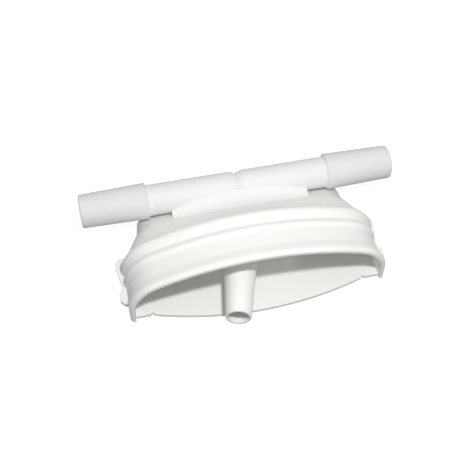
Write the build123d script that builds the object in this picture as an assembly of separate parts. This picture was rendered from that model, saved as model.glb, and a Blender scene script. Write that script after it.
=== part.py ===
"""Detergent dispenser of a washing machine: a double-ended water tube over a hood with a flushing nozzle.

One white plastic moulding. It lies on its flat back: X runs along the water tube, Y from the
mouth of the hood towards the tube and Z out of the back plate. Lengths are in millimetres.
"""
import os
from math import atan2, cos, degrees, pi, radians, sin, sqrt, tan

from build123d import *

# Water tube
TUBE_LENGTH = 155.0
TUBE_RADIUS = 7.7
TUBE_Y = 52.8
TUBE_Z = 20.2
BORE_RADIUS = 6.2
CENTRE_WEB = 4.0
NOTCH_DEPTH = 1.4
NOTCH_REACH = 4.2

# Hose spigots at the two tube ends
SPIGOT_LENGTH = 32.4
SPIGOT_TIP_RADIUS = 8.25
SPIGOT_ROOT_RADIUS = 9.0
SPIGOT_EDGE = 0.9

# Hood: its sections are D-shaped and Y counts from the mouth
WALL = 2.0
HOOD_CORNER = 20.0
HOOD_CROWN = 128.0
HOOD_HALF_WIDTH = 60.6
MOUTH_HEIGHT = 36.0
HOOD_FALL = 0.13
SKIN_STATIONS = 30

# Lip round the mouth, narrow bead and broad rib: they swell out of the hood's skin
LIP_FRONT = 1.6
LIP_Y = 0.2
LIP_REACH = 6.5
LIP_PROUD = 1.5
LIP_NOSE = 1.3
LIP_THICKNESS = 1.3
BAND_Y = 8.0
BEAD_Y = 16.8
BEAD_REACH = 3.0
BEAD_PROUD = 1.2
GROOVE_Y = 19.7
RIB_Y = 24.6
RIB_REACH = 5.0
RIB_PROUD = 2.0
RIB_BACK = 5.2
RIB_FALL = 4.0

# Roof that slopes from the rib down to the shoulders
BROW_Y = 27.4
BROW_HALF_WIDTH = 60.8
BROW_HEIGHT = 32.55
WAIST_Y = 42.0
WAIST_HALF_WIDTH = 52.7
SHOULDER_Y = 50.2
SHOULDER_HALF_WIDTH = 51.4
SHOULDER_HEIGHT = 12.7
SHOULDER_CORNER = 5.0
SHOULDER_CROWN = 600.0
SHOULDER_ROUND = 1.5

# Neck that joins the hood's sloping roof to the tube, and the ports inside it
NECK_HALF_WIDTH = 34.0
NECK_SINK = 0.35
NECK_LAP = 0.03
NECK_ROUND_MIDDLE = 8.0
NECK_ROUND_END = 3.2
PORT_WIDTH = 5.0

# Back plate: tongue beyond the mouth and ears at its sides
TONGUE_HALF_CHORD = 51.4
TONGUE_REACH = 7.8
TONGUE_RELIEF = 0.8
EAR_THICKNESS = 2.4
EAR_TOP_Y = 33.6
EAR_FOOT_Y = 7.5
EAR_PROUD = 4.8
EAR_NOTCH_DEPTH = 1.8
EAR_NOTCH_Y = 17.6
EAR_ROUND = 1.2

# Flushing nozzle and the water chamber behind it
NOZZLE_LEAN = 13.5
NOZZLE_Z = 14.0
NOZZLE_TIP_X = -13.5
NOZZLE_TIP_Y = -16.6
NOZZLE_TIP_RADIUS = 6.0
NOZZLE_ROOT_RADIUS = 8.2
NOZZLE_BORE_RADIUS = 5.0
NOZZLE_FLARE = 3.2
CHAMBER_HALF_WIDTH = 22.0
CHAMBER_FACE_Y = 18.4


def dome(half_width, height, corner, crown, floor):
    """D-shaped face: flat floor, upright sides, rounded shoulders and a crowned top."""
    side = half_width - corner
    spring = height - crown + sqrt((crown - corner) ** 2 - side ** 2)
    turn = atan2(spring - height + crown, side)
    meet = (crown * cos(turn), height - crown + crown * sin(turn))
    bulge = (side + corner * cos(turn / 2), spring + corner * sin(turn / 2))
    edges = [
        Line((-half_width, floor), (half_width, floor)),
        Line((half_width, floor), (half_width, spring)),
        ThreePointArc((half_width, spring), bulge, meet),
        ThreePointArc(meet, (0, height), (-meet[0], meet[1])),
        ThreePointArc((-meet[0], meet[1]), (-bulge[0], bulge[1]), (-half_width, spring)),
        Line((-half_width, spring), (-half_width, floor)),
    ]
    return make_face(edges)


def across(y):
    """Plane square to the hood's depth, with X to the right and Z up."""
    return Plane((0, y, 0), x_dir=(1, 0, 0), z_dir=(0, -1, 0))


def section(y, half_width, height, shrink=0.0, floor=0.0):
    """Hood section at one distance from the mouth, smaller all round by the given amount."""
    corner = HOOD_CORNER - shrink
    return across(y) * dome(half_width - shrink, height - shrink, corner, HOOD_CROWN - shrink, floor)


def roof_section(y, half_width, shrink=0.0, floor=0.0):
    """Roof section that grows lower, flatter and squarer from the brow to the shoulders."""
    part = (y - BROW_Y) / (SHOULDER_Y - BROW_Y)
    height = BROW_HEIGHT + (SHOULDER_HEIGHT - BROW_HEIGHT) * part - shrink
    corner = HOOD_CORNER + (SHOULDER_CORNER - HOOD_CORNER) * part - shrink
    crown = 1 / ((1 - part) / HOOD_CROWN + part / SHOULDER_CROWN)
    return across(y) * dome(half_width - shrink, height, corner, crown, floor)


def swell(y, middle, reach):
    """Soft bump of height one that fades out at the given reach on both sides of its middle."""
    return (1 + cos(pi * min(abs(y - middle) / reach, 1.0))) / 2


def skin_section(y, shrink=0.0, floor=0.0):
    """Outer hood section with the lip, the bead and the rib swelling out of it."""
    proud = BEAD_PROUD * swell(y, BEAD_Y, BEAD_REACH)
    if y < LIP_Y:
        proud += LIP_PROUD - LIP_NOSE * (1 - cos(pi / 2 * (LIP_Y - y) / (LIP_Y + LIP_FRONT)))
    else:
        proud += LIP_PROUD * swell(y, LIP_Y, LIP_REACH)
    if y < RIB_Y:
        proud += RIB_PROUD * swell(y, RIB_Y, RIB_REACH)
    else:
        proud += RIB_PROUD - RIB_FALL * (1 - cos(pi / 2 * (y - RIB_Y) / RIB_BACK))
    return section(y, HOOD_HALF_WIDTH, MOUTH_HEIGHT - HOOD_FALL * y, shrink - proud, floor)


def mouth_face(floor):
    """Clear opening of the mouth, inside the lip."""
    inset = LIP_NOSE + LIP_THICKNESS - LIP_PROUD
    corner, crown = HOOD_CORNER - inset, HOOD_CROWN - inset
    return dome(HOOD_HALF_WIDTH - inset, MOUTH_HEIGHT - inset, corner, crown, floor)


def hood():
    """Solid hood: skin from the lip to the back of the rib, and the sloping roof behind it."""
    step = (LIP_FRONT + RIB_Y + RIB_BACK) / SKIN_STATIONS
    skin = loft([skin_section(step * i - LIP_FRONT) for i in range(SKIN_STATIONS + 1)])
    roof = loft([
        roof_section(BROW_Y, BROW_HALF_WIDTH),
        roof_section(WAIST_Y, WAIST_HALF_WIDTH),
        roof_section(SHOULDER_Y, SHOULDER_HALF_WIDTH),
    ], ruled=True)
    back = roof.edges().filter_by_position(Axis.Y, SHOULDER_Y - 0.01, SHOULDER_Y + 0.01)
    roof = fillet(back.filter_by_position(Axis.Z, 0.01, 2 * SHOULDER_HEIGHT), SHOULDER_ROUND)
    return skin + roof


def hollow():
    """Room inside the hood, from its mouth up to the shoulders."""
    return loft([
        across(-LIP_FRONT) * mouth_face(WALL),
        skin_section(BAND_Y, WALL, WALL),
        skin_section(GROOVE_Y, WALL, WALL),
        roof_section(BROW_Y, BROW_HALF_WIDTH, WALL, WALL),
        roof_section(WAIST_Y, WAIST_HALF_WIDTH, WALL, WALL),
        roof_section(SHOULDER_Y - WALL, SHOULDER_HALF_WIDTH, WALL, WALL),
    ], ruled=True)


def tube_half():
    """Right half of the solid water tube: rounded inner end, shoulder and tapered spigot."""
    end = TUBE_LENGTH / 2
    root = end - SPIGOT_LENGTH
    foot = root - (SPIGOT_ROOT_RADIUS - TUBE_RADIUS) * 0.6
    low = TUBE_RADIUS - NOTCH_DEPTH
    swell = (NOTCH_REACH * 0.45, TUBE_RADIUS - NOTCH_DEPTH * 0.3)
    rim = (end - SPIGOT_EDGE, SPIGOT_TIP_RADIUS)
    ease = SPIGOT_EDGE * (1 - sqrt(0.5))
    edges = [
        Line((0, 0), (0, low)),
        ThreePointArc((0, low), swell, (NOTCH_REACH, TUBE_RADIUS)),
        Line((NOTCH_REACH, TUBE_RADIUS), (foot, TUBE_RADIUS)),
        Line((foot, TUBE_RADIUS), (root, SPIGOT_ROOT_RADIUS)),
        Line((root, SPIGOT_ROOT_RADIUS), rim),
        ThreePointArc(rim, (end - ease, SPIGOT_TIP_RADIUS - ease), (end, SPIGOT_TIP_RADIUS - SPIGOT_EDGE)),
        Line((end, SPIGOT_TIP_RADIUS - SPIGOT_EDGE), (end, 0)),
        Line((end, 0), (0, 0)),
    ]
    face = Plane((0, TUBE_Y, TUBE_Z)) * make_face(edges)
    return revolve(face, Axis((0, TUBE_Y, TUBE_Z), (1, 0, 0)), 360)


def neck_line(x):
    """Roof line under the neck at one place along the tube: its start on the brow and its slope."""
    start = Vector(BROW_Y, BROW_HEIGHT - x ** 2 / (2 * HOOD_CROWN) - NECK_SINK)
    finish = Vector(SHOULDER_Y, SHOULDER_HEIGHT - x ** 2 / (2 * SHOULDER_CROWN) - NECK_SINK)
    return start, atan2(start.Y - finish.Y, finish.X - start.X)


def neck_section(x):
    """Side view of the neck at one place along the tube: roof line and hollow round up to the tube."""
    start, slope = neck_line(x)
    swing = NECK_ROUND_MIDDLE + (NECK_ROUND_END - NECK_ROUND_MIDDLE) * (x / NECK_HALF_WIDTH) ** 2
    along = Vector(cos(slope), -sin(slope))
    out = Vector(sin(slope), cos(slope))
    tube = Vector(TUBE_Y, TUBE_Z)
    height = (tube - start).dot(out)
    reach = (tube - start).dot(along)
    radius = TUBE_RADIUS - NECK_LAP
    back = sqrt((radius + swing) ** 2 - (height - swing) ** 2)
    centre = start + along * (reach - back) + out * swing
    toward = (tube - centre).normalized()
    on_roof = centre - out * swing
    on_tube = centre + toward * swing
    middle = centre + (toward - out).normalized() * swing
    under = (TUBE_Y, TUBE_Z - radius)
    heel = (SHOULDER_Y, SHOULDER_HEIGHT - SHOULDER_ROUND)
    edges = [
        Line(start, on_roof),
        ThreePointArc(on_roof, middle, on_tube),
        Polyline(on_tube, tube, under, heel, (BROW_Y, WALL), start),
    ]
    return Plane((x, 0, 0), x_dir=(0, 1, 0), z_dir=(1, 0, 0)) * make_face(edges)


def neck():
    """Blend that fills the gap between the crowned roof and the straight tube."""
    places = [NECK_HALF_WIDTH * i / 2 for i in range(-2, 3)]
    return loft([neck_section(x) for x in places])


def nozzle_parts():
    """Solid flared nozzle and its bore, leaning sideways."""
    lean = radians(NOZZLE_LEAN)
    heading = Vector(-sin(lean), -cos(lean), 0)
    length = (CHAMBER_FACE_Y - NOZZLE_TIP_Y) / cos(lean)
    root = Vector(NOZZLE_TIP_X, NOZZLE_TIP_Y, NOZZLE_Z) - heading * length
    frame = Plane(root, x_dir=heading, z_dir=(0, 0, 1))
    wide = NOZZLE_ROOT_RADIUS + NOZZLE_FLARE
    ease = NOZZLE_FLARE * (1 - sqrt(0.5))
    behind = -wide * tan(lean)
    outline = [
        Line((behind, 0), (behind, wide)),
        Line((behind, wide), (0, wide)),
        ThreePointArc((0, wide), (ease, NOZZLE_ROOT_RADIUS + ease), (NOZZLE_FLARE, NOZZLE_ROOT_RADIUS)),
        Line((NOZZLE_FLARE, NOZZLE_ROOT_RADIUS), (length, NOZZLE_TIP_RADIUS)),
        Line((length, NOZZLE_TIP_RADIUS), (length, 0)),
        Line((length, 0), (behind, 0)),
    ]
    axis = Axis(root, heading)
    above_plate = Pos(0, 0, WALL / 2) * Box(400, 400, 200, align=(Align.CENTER, Align.CENTER, Align.MIN))
    solid = revolve(frame * make_face(outline), axis, 360) & above_plate
    slot = Pos(length / 2, NOZZLE_BORE_RADIUS / 2) * Rectangle(2 * length, NOZZLE_BORE_RADIUS)
    return solid, revolve(frame * slot, axis, 360)


def tongue():
    """Bowed flap of the back plate beyond the mouth, relieved at both ends."""
    bow = ThreePointArc((-TONGUE_HALF_CHORD, 0), (0, -TONGUE_REACH), (TONGUE_HALF_CHORD, 0))
    back = Polyline(bow @ 1, (TONGUE_HALF_CHORD, WALL), (-TONGUE_HALF_CHORD, WALL), bow @ 0)
    return extrude(make_face([bow, back]), WALL)


def ear():
    """Notched ear on the right side of the back plate."""
    inner = WAIST_HALF_WIDTH
    reach = HOOD_HALF_WIDTH + EAR_PROUD
    low = reach - EAR_NOTCH_DEPTH
    upper = EAR_TOP_Y - EAR_NOTCH_Y
    lower = EAR_NOTCH_Y - EAR_FOOT_Y
    outline = [
        (inner, EAR_TOP_Y),
        (low, EAR_TOP_Y),
        (reach, EAR_TOP_Y - upper * 0.14),
        (reach, EAR_TOP_Y - upper * 0.28),
        (low, EAR_NOTCH_Y),
        (reach, EAR_NOTCH_Y - lower * 0.38),
        (reach, EAR_FOOT_Y + lower * 0.26),
        (low, EAR_FOOT_Y),
        (inner, EAR_FOOT_Y),
    ]
    face = make_face(Polyline(*outline, close=True))
    tips = face.vertices().filter_by_position(Axis.X, low - 0.01, reach + 0.01)
    return extrude(fillet(tips, EAR_ROUND), EAR_THICKNESS)


def chamber_walls(room):
    """Two side walls and the front wall of the water chamber, fitted to the room in the hood."""
    depth = TUBE_Y - CHAMBER_FACE_Y
    side = Pos(CHAMBER_HALF_WIDTH, CHAMBER_FACE_Y + depth / 2, TUBE_Z) * Box(WALL, depth, 4 * TUBE_Z)
    front = Pos(0, CHAMBER_FACE_Y + WALL / 2, TUBE_Z) * Box(2 * CHAMBER_HALF_WIDTH, WALL, 4 * TUBE_Z)
    return (side + mirror(side, Plane.YZ) + front) & room


def waterways():
    """Right tube bore and the port that leads from it down into the chamber."""
    length = (TUBE_LENGTH - CENTRE_WEB) / 2
    bore = Pos((CENTRE_WEB + length) / 2, TUBE_Y, TUBE_Z) * Rot(0, 90, 0) * Cylinder(BORE_RADIUS, length)
    span = CHAMBER_HALF_WIDTH - CENTRE_WEB - WALL
    drop = Pos(0, -PORT_WIDTH * 0.3, -TUBE_RADIUS) * Box(span, PORT_WIDTH, 2 * TUBE_RADIUS)
    slope = neck_line(NECK_HALF_WIDTH)[1]
    port = Pos((CENTRE_WEB + span) / 2, TUBE_Y, TUBE_Z) * Rot(-degrees(slope), 0, 0) * drop
    return bore + port


def dispenser():
    """Whole moulding, hollowed out and centred over the middle of its outline."""
    half = tube_half()
    tube = half + mirror(half, Plane.YZ)
    room = hollow()
    mouth = extrude(across(0.0) * mouth_face(-WALL), 2 * LIP_FRONT)
    shell = hood() + neck() + ear() + mirror(ear(), Plane.YZ) - mouth + tongue()
    relief = Pos(TONGUE_HALF_CHORD, 0, 0) * Cylinder(TONGUE_RELIEF, 4 * WALL)
    shell = shell - room - relief - mirror(relief, Plane.YZ)

    nozzle, nozzle_bore = nozzle_parts()
    inside = Box(2 * CHAMBER_HALF_WIDTH - WALL, 200, 200, align=(Align.CENTER, Align.MIN, Align.CENTER))
    behind = Pos(0, CHAMBER_FACE_Y + WALL, 0) * inside
    body = shell + chamber_walls(room) + nozzle - (room & behind) + tube - nozzle_bore
    water = waterways()
    body = body - water - mirror(water, Plane.YZ)
    return Pos(0, -body.bounding_box().center().Y, 0) * body


os.makedirs("parts", exist_ok=True)
export_step(dispenser(), "parts/dispenser_body.step")
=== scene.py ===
"""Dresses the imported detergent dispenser: its white moulding, a pale studio and the photograph's camera."""
import logging
import math
from dataclasses import dataclass, field
from enum import Enum
from typing import Any, NamedTuple

import bmesh
import bpy
from mathutils import Matrix, Vector


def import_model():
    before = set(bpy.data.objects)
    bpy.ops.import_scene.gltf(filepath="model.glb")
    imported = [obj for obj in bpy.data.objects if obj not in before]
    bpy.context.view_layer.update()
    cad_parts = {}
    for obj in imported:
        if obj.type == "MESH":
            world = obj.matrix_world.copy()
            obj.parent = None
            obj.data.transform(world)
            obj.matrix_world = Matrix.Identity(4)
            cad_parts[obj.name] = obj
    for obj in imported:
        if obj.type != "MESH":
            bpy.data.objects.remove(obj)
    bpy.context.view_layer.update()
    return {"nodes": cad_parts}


LOG = logging.getLogger("dispenser")
MM = 0.001
IMAGE_SIDE = 470

Colour = tuple[float, float, float, float]


class Ray(Enum):
    """Kinds of ray that see the plain white surroundings instead of the studio's fill light."""

    CAMERA = "Is Camera Ray"
    GLOSSY = "Is Glossy Ray"
    TRANSMISSION = "Is Transmission Ray"


class Zones(NamedTuple):
    """Sockets that are one on a place of the moulding and zero elsewhere."""

    tube: bpy.types.NodeSocket
    spigot: bpy.types.NodeSocket
    seam: bpy.types.NodeSocket
    sink: bpy.types.NodeSocket


def linear(hex_colour: str) -> Colour:
    """Turns an sRGB hex colour into linear light.

    Args:
        hex_colour: Colour such as "#F0F0EC".

    Returns:
        Red, green, blue and alpha, each from 0 to 1.
    """
    digits = hex_colour.lstrip("#")
    parts = [int(digits[i:i + 2], 16) / 255 for i in (0, 2, 4)]
    red, green, blue = [p / 12.92 if p <= 0.04045 else ((p + 0.055) / 1.055) ** 2.4 for p in parts]
    return red, green, blue, 1.0


def add_node(tree: bpy.types.NodeTree, kind: str, settings: dict[str, Any] | None = None,
             inputs: dict[str | int, Any] | None = None) -> bpy.types.Node:
    """Adds one shader node, sets it up and links it.

    Args:
        tree: Node tree that gets the node.
        kind: Blender's type name of the node.
        settings: The node's own properties, by name.
        inputs: Its input sockets, by name or number: a socket is linked, anything else is set.

    Returns:
        The new node.
    """
    node = tree.nodes.new(kind)
    for name, value in (settings or {}).items():
        setattr(node, name, value)
    for key, value in (inputs or {}).items():
        if isinstance(value, bpy.types.NodeSocket):
            tree.links.new(value, node.inputs[key])
        else:
            node.inputs[key].default_value = value
    return node


def white_rays(tree: bpy.types.NodeTree) -> bpy.types.NodeSocket:
    """Adds the test for the rays that see white surroundings.

    Args:
        tree: Node tree of the floor or the world.

    Returns:
        Socket that is one on those rays and zero on the rest.
    """
    path = add_node(tree, "ShaderNodeLightPath")
    first = add_node(tree, "ShaderNodeMath", {"operation": "MAXIMUM"},
                     {0: path.outputs[Ray.CAMERA.value], 1: path.outputs[Ray.GLOSSY.value]})
    both = add_node(tree, "ShaderNodeMath", {"operation": "MAXIMUM"},
                    {0: first.outputs[0], 1: path.outputs[Ray.TRANSMISSION.value]})
    return both.outputs[0]


@dataclass(frozen=True)
class MouldedPolypropylene:
    """White polypropylene, injection moulded: a milky satin skin, with a matt grain on the hose spigots, and
    painted shade on the tube and spigots.
    """

    # Polypropylene is waxy and a little see-through: light sinks in, so no highlight is sharp.
    # Moulding leaves flow marks, ripples and sinks on it. Their sizes are typical real ones, except the grain.
    name: str = "polypropylene_injection_moulded"
    colour: str = "#F5F5F2"
    flow_colour: str = "#F1F1EE"
    # Painted shade: the tube and the neck round it are tinted greyer than the hood, where the lamp lights them
    # less. The plastic is the same all over.
    tube_painted_shade_colour: str = "#EAEAE8"
    # Painted shade: the spigots are tinted greyer still, for the lamp's weaker, slanting light at the tube's
    # ends. Their matt grain is real.
    spigot_painted_shade_colour: str = "#E4E4E3"
    ior: float = 1.49
    satin: float = 0.6
    satin_spread: float = 0.05
    matt: float = 0.68
    scatter: float = 0.12
    scatter_depth_mm: float = 1.2
    flow_mm: float = 26.0
    ripple_mm: float = 5.0
    ripple_depth_mm: float = 0.1
    grain_mm: float = 1.1
    grain_depth_mm: float = 0.08
    edge_mm: float = 0.35
    seam_mm: float = 0.3
    seam_depth_mm: float = 0.06
    sink_mm: float = 2.4
    sink_depth_mm: float = 0.12

    def material(self, moulding: "DispenserMoulding") -> bpy.types.Material:
        """Builds the finish for the moulding's own places.

        Args:
            moulding: Sizes of the moulding, which say where the spigots and the seams are.

        Returns:
            The material.
        """
        made = bpy.data.materials.new(self.name)
        made.use_nodes = True
        tree = made.node_tree
        tree.nodes.clear()
        place = add_node(tree, "ShaderNodeTexCoord").outputs["Object"]
        zones = self.zones(tree, place, moulding)
        flow = add_node(tree, "ShaderNodeTexNoise", None,
                        {"Vector": place, "Scale": 1 / (self.flow_mm * MM), "Detail": 2.0, "Distortion": 0.6})
        skin = add_node(tree, "ShaderNodeMix", {"data_type": "RGBA"},
                        {0: flow.outputs[0], 6: linear(self.colour), 7: linear(self.flow_colour)})
        # Painted shade: the tube's zone is mixed towards the greyer tube colour.
        tube_painted_shade = add_node(tree, "ShaderNodeMix", {"data_type": "RGBA"},
                        {0: zones.tube, 6: skin.outputs[2], 7: linear(self.tube_painted_shade_colour)})
        # Painted shade on the spigots, mixed over the tube's painted shade.
        spigot_painted_shade = add_node(tree, "ShaderNodeMix", {"data_type": "RGBA"},
                        {0: zones.spigot, 6: tube_painted_shade.outputs[2], 7: linear(self.spigot_painted_shade_colour)})
        grain = add_node(tree, "ShaderNodeTexNoise", None,
                         {"Vector": place, "Scale": 1 / (self.grain_mm * MM), "Detail": 3.0})
        gloss = add_node(tree, "ShaderNodeMapRange", None,
                         {0: grain.outputs[0], 1: 0.3, 2: 0.7, 3: self.satin - self.satin_spread,
                          4: self.satin + self.satin_spread})
        rough = add_node(tree, "ShaderNodeMix", None, {0: zones.spigot, 2: gloss.outputs[0], 3: self.matt})
        shader = add_node(tree, "ShaderNodeBsdfPrincipled", None, {
            "Base Color": spigot_painted_shade.outputs[2],
            "Roughness": rough.outputs[0],
            "IOR": self.ior,
            "Subsurface Weight": self.scatter,
            "Subsurface Radius": (1.0, 1.0, 0.85),
            "Subsurface Scale": self.scatter_depth_mm * MM,
            "Normal": self.relief(tree, place, grain.outputs[0], zones),
        })
        add_node(tree, "ShaderNodeOutputMaterial", None, {"Surface": shader.outputs[0]})
        return made

    def zones(self, tree: bpy.types.NodeTree, place: bpy.types.NodeSocket,
              moulding: "DispenserMoulding") -> Zones:
        """Finds the tube, its spigots, the mould's seam along it and the sink marks over the inner walls.

        Args:
            tree: Node tree of the material.
            place: Object coordinates.
            moulding: Sizes of the moulding.

        Returns:
            The four places.
        """
        axis = Vector((0.0, moulding.tube_y, moulding.tube_z)) * MM
        offset = add_node(tree, "ShaderNodeVectorMath", {"operation": "SUBTRACT"}, {0: place, 1: axis})
        parts = add_node(tree, "ShaderNodeSeparateXYZ", None, {0: offset.outputs[0]})
        round_part = add_node(tree, "ShaderNodeCombineXYZ", None, {1: parts.outputs[1], 2: parts.outputs[2]})
        off_axis = add_node(tree, "ShaderNodeVectorMath", {"operation": "LENGTH"}, {0: round_part.outputs[0]})
        on_tube = add_node(tree, "ShaderNodeMapRange", {"interpolation_type": "SMOOTHSTEP"},
                           {0: off_axis.outputs["Value"], 1: (moulding.tube_reach + moulding.tube_fade) * MM,
                            2: moulding.tube_reach * MM})
        along = add_node(tree, "ShaderNodeMath", {"operation": "ABSOLUTE"}, {0: parts.outputs[0]})
        beyond = add_node(tree, "ShaderNodeMapRange", None,
                          {0: along.outputs[0], 1: (moulding.spigot_x - moulding.spigot_step) * MM,
                           2: moulding.spigot_x * MM})
        spigot = add_node(tree, "ShaderNodeMath", {"operation": "MULTIPLY"},
                          {0: on_tube.outputs[0], 1: beyond.outputs[0]})
        height = add_node(tree, "ShaderNodeMath", {"operation": "ABSOLUTE"}, {0: parts.outputs[2]})
        line = add_node(tree, "ShaderNodeMapRange", {"interpolation_type": "SMOOTHSTEP"},
                        {0: height.outputs[0], 1: self.seam_mm * MM, 2: 0.0})
        seam = add_node(tree, "ShaderNodeMath", {"operation": "MULTIPLY"},
                        {0: on_tube.outputs[0], 1: line.outputs[0]})
        from_wall = add_node(tree, "ShaderNodeMath", {"operation": "SUBTRACT"},
                             {0: along.outputs[0], 1: moulding.wall_x * MM})
        beside = add_node(tree, "ShaderNodeMath", {"operation": "ABSOLUTE"}, {0: from_wall.outputs[0]})
        groove = add_node(tree, "ShaderNodeMapRange", {"interpolation_type": "SMOOTHSTEP"},
                          {0: beside.outputs[0], 1: self.sink_mm * MM, 2: 0.0})
        over_wall = add_node(tree, "ShaderNodeMapRange", {"interpolation_type": "SMOOTHSTEP"},
                             {0: parts.outputs[1],
                              1: (moulding.wall_y - moulding.tube_y - moulding.wall_fade) * MM,
                              2: (moulding.wall_y - moulding.tube_y + moulding.wall_fade) * MM})
        sink = add_node(tree, "ShaderNodeMath", {"operation": "MULTIPLY"},
                        {0: groove.outputs[0], 1: over_wall.outputs[0]})
        return Zones(on_tube.outputs[0], spigot.outputs[0], seam.outputs[0], sink.outputs[0])

    def relief(self, tree: bpy.types.NodeTree, place: bpy.types.NodeSocket, grain: bpy.types.NodeSocket,
               zones: Zones) -> bpy.types.NodeSocket:
        """Makes the fine relief: softened edges, faint ripples, sink marks, the spigots' grain and the seam.

        Args:
            tree: Node tree of the material.
            place: Object coordinates.
            grain: Fine noise. Real grain is about 0.05 mm and is drawn coarser, so that it shows.
            zones: Places of the moulding.

        Returns:
            Socket of the surface's normal.
        """
        edge = add_node(tree, "ShaderNodeBevel", {"samples": 6}, {"Radius": self.edge_mm * MM})
        ripple = add_node(tree, "ShaderNodeTexNoise", None,
                          {"Vector": place, "Scale": 1 / (self.ripple_mm * MM), "Detail": 1.0})
        waves = add_node(tree, "ShaderNodeBump", None, {
            "Strength": 0.12, "Distance": self.ripple_depth_mm * MM, "Height": ripple.outputs[0],
            "Normal": edge.outputs[0]})
        dip = add_node(tree, "ShaderNodeBump", {"invert": True}, {
            "Strength": 0.5, "Distance": self.sink_depth_mm * MM, "Height": zones.sink,
            "Normal": waves.outputs[0]})
        tooth = add_node(tree, "ShaderNodeMapRange", None, {0: zones.spigot, 3: 0.04, 4: 0.3})
        rough = add_node(tree, "ShaderNodeBump", None, {
            "Strength": tooth.outputs[0], "Distance": self.grain_depth_mm * MM, "Height": grain,
            "Normal": dip.outputs[0]})
        line = add_node(tree, "ShaderNodeBump", None, {
            "Strength": 0.5, "Distance": self.seam_depth_mm * MM, "Height": zones.seam,
            "Normal": rough.outputs[0]})
        return line.outputs[0]


@dataclass(frozen=True)
class StudioPaper:
    """Matt paper under the part: white to the camera, with the part's shadow left on it."""

    # Uncoated paper has no shine. Its grey keeps bounced light low, and the glow makes up the white seen.
    name: str = "paper_matt_white"
    colour: str = "#999999"
    glow: float = 0.866

    def material(self) -> bpy.types.Material:
        """Builds the paper.

        Returns:
            The material.
        """
        made = bpy.data.materials.new(self.name)
        made.use_nodes = True
        tree = made.node_tree
        tree.nodes.clear()
        sheet = add_node(tree, "ShaderNodeBsdfDiffuse", None, {"Color": linear(self.colour)})
        level = add_node(tree, "ShaderNodeMath", {"operation": "MULTIPLY"},
                         {0: white_rays(tree), 1: self.glow})
        glow = add_node(tree, "ShaderNodeEmission", None, {"Strength": level.outputs[0]})
        seen = add_node(tree, "ShaderNodeAddShader", None, {0: sheet.outputs[0], 1: glow.outputs[0]})
        add_node(tree, "ShaderNodeOutputMaterial", None, {"Surface": seen.outputs[0]})
        return made


@dataclass
class DispenserMoulding:
    """The one white moulding, with the sizes in millimetres that its finish follows."""

    node: str = "dispenser_body"
    slot: str = "body"
    tube_y: float = 30.9
    tube_z: float = 20.2
    tube_reach: float = 12.0
    tube_fade: float = 6.0
    spigot_x: float = 45.1
    spigot_step: float = 0.6
    wall_x: float = 22.0
    wall_y: float = -3.5
    wall_fade: float = 3.0
    finish: MouldedPolypropylene = field(default_factory=MouldedPolypropylene)

    def dress(self, nodes: dict[str, bpy.types.Object]) -> bpy.types.Object:
        """Gives the moulding its finish.

        Args:
            nodes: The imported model's objects, by node name.

        Returns:
            The dressed object.
        """
        body = nodes[self.node]
        body.data.materials.clear()
        body.data.materials.append(self.finish.material(self))
        return body


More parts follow.
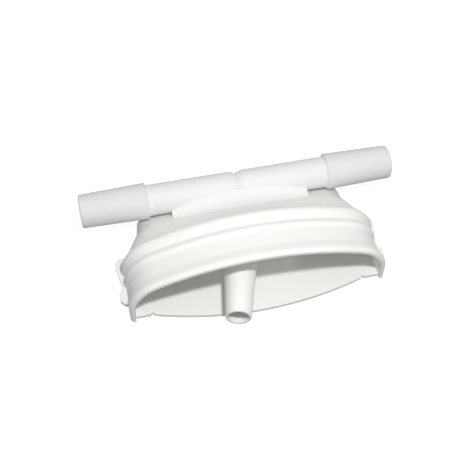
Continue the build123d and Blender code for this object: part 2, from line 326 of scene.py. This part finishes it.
@dataclass
class Studio:
    """Plain pale floor, one round lamp close above the front, and even white fill."""

    floor_half_m: float = 4.0
    key_watt: float = 0.98
    key_width_m: float = 0.03
    key_at_m: tuple[float, float, float] = (0.01, -0.145, 0.382)
    key_aim_m: tuple[float, float, float] = (0.0, -0.012, 0.002)
    fill_strength: float = 0.42
    paper: StudioPaper = field(default_factory=StudioPaper)

    def floor(self) -> bpy.types.Object:
        """Lays the floor that the part rests on.

        Returns:
            The floor.
        """
        mesh = bpy.data.meshes.new("floor")
        sheet = bmesh.new()
        bmesh.ops.create_grid(sheet, x_segments=1, y_segments=1, size=self.floor_half_m)
        sheet.to_mesh(mesh)
        sheet.free()
        floor = bpy.data.objects.new("floor", mesh)
        bpy.context.scene.collection.objects.link(floor)
        mesh.materials.append(self.paper.material())
        return floor

    def key(self) -> bpy.types.Object:
        """Hangs the key light.

        Returns:
            The lamp.
        """
        lamp = bpy.data.lights.new("key", "AREA")
        lamp.shape = "DISK"
        lamp.size = self.key_width_m
        lamp.energy = self.key_watt
        key = bpy.data.objects.new("key", lamp)
        key.location = self.key_at_m
        key.rotation_mode = "QUATERNION"
        key.rotation_quaternion = (Vector(self.key_aim_m) - key.location).to_track_quat("-Z", "Y")
        key.visible_camera = False
        bpy.context.scene.collection.objects.link(key)
        return key

    def fill(self) -> bpy.types.World:
        """Surrounds the part with even white light.

        Returns:
            The world.
        """
        world = bpy.data.worlds.new("fill")
        world.use_nodes = True
        tree = world.node_tree
        tree.nodes.clear()
        level = add_node(tree, "ShaderNodeMapRange", None,
                         {0: white_rays(tree), 3: self.fill_strength, 4: 1.0})
        light = add_node(tree, "ShaderNodeBackground", None, {"Strength": level.outputs[0]})
        add_node(tree, "ShaderNodeOutputWorld", None, {"Surface": light.outputs[0]})
        light.inputs["Color"].default_value = (1.0, 1.0, 1.0, 1.0)
        bpy.context.scene.world = world
        return world


@dataclass
class PhotoCamera:
    """Camera of the photograph, fitted to the tube's ends and the hood's outline."""

    azimuth_deg: float = -11.66
    elevation_deg: float = 55.64
    distance_m: float = 0.4535
    focal_px: float = 900.0
    sensor_mm: float = 36.0
    target_m: tuple[float, float, float] = (-0.00395, 0.01585, 0.0)

    def place(self) -> bpy.types.Object:
        """Sets the camera up and makes it the scene's own.

        Returns:
            The camera.
        """
        turn, rise = math.radians(self.azimuth_deg), math.radians(self.elevation_deg)
        back = Vector((math.sin(turn) * math.cos(rise), -math.cos(turn) * math.cos(rise), math.sin(rise)))
        right = Vector((math.cos(turn), math.sin(turn), 0.0))
        facing = Matrix((right, back.cross(right), back)).transposed().to_4x4()
        facing.translation = Vector(self.target_m) + back * self.distance_m
        lens = bpy.data.cameras.new("photo_camera")
        lens.sensor_width = self.sensor_mm
        lens.lens = self.sensor_mm * self.focal_px / IMAGE_SIDE
        lens.clip_start = 0.01
        camera = bpy.data.objects.new("photo_camera", lens)
        camera.matrix_world = facing
        bpy.context.scene.collection.objects.link(camera)
        bpy.context.scene.camera = camera
        return camera


def main() -> None:
    """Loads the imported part, dresses it and sets up the studio and the camera."""
    logging.basicConfig(level=logging.INFO, format="%(name)s: %(message)s")
    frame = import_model()
    bpy.context.scene.view_settings.view_transform = "Standard"
    LOG.info("camera %s", PhotoCamera().place().name)
    body = DispenserMoulding().dress(frame["nodes"])
    LOG.info("piece %s in %s", body.name, body.data.materials[0].name)
    studio = Studio()
    LOG.info("stage %s, lamp %s, world %s", studio.floor().name, studio.key().name, studio.fill().name)


if __name__ == "__main__":
    main()
